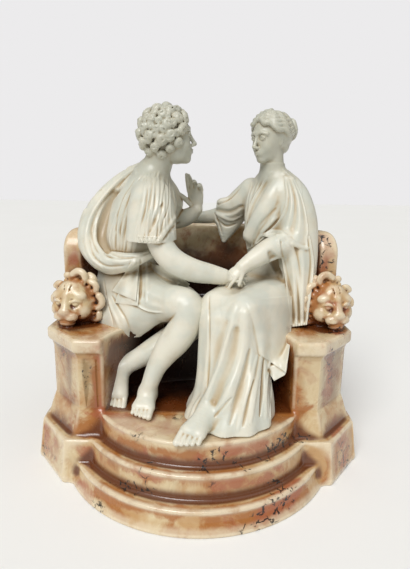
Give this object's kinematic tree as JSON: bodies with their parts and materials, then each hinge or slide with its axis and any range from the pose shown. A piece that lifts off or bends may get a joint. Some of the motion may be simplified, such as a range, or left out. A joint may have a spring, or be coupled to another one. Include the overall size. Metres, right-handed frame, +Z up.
{
  "type": "porcelain figure group",
  "caption": "Porcelain group of a young man and woman in antique dress, seated hand in hand on a marbled half-round bench with lion heads and curved steps.",
  "frame": {"origin": "on the underside, on the middle plane of the bench, at the centre of the bottom step's arc", "axes": "+Z up, +X to the right of a viewer who faces the front, +Y away from that viewer, towards the bench's back"},
  "size_m": [0.304, 0.272, 0.326],
  "materials": {
    "marbled_glaze": "glazed porcelain painted as ochre and rose marble with dark veins, pale at the edges",
    "ivory_bisque": "ivory tinted porcelain with a satin sheen, darker in the folds"
  },
  "bodies": {
    "root": {"exedra_bench": "marbled_glaze", "seated_couple": "ivory_bisque"}
  },
  "joints": []
}
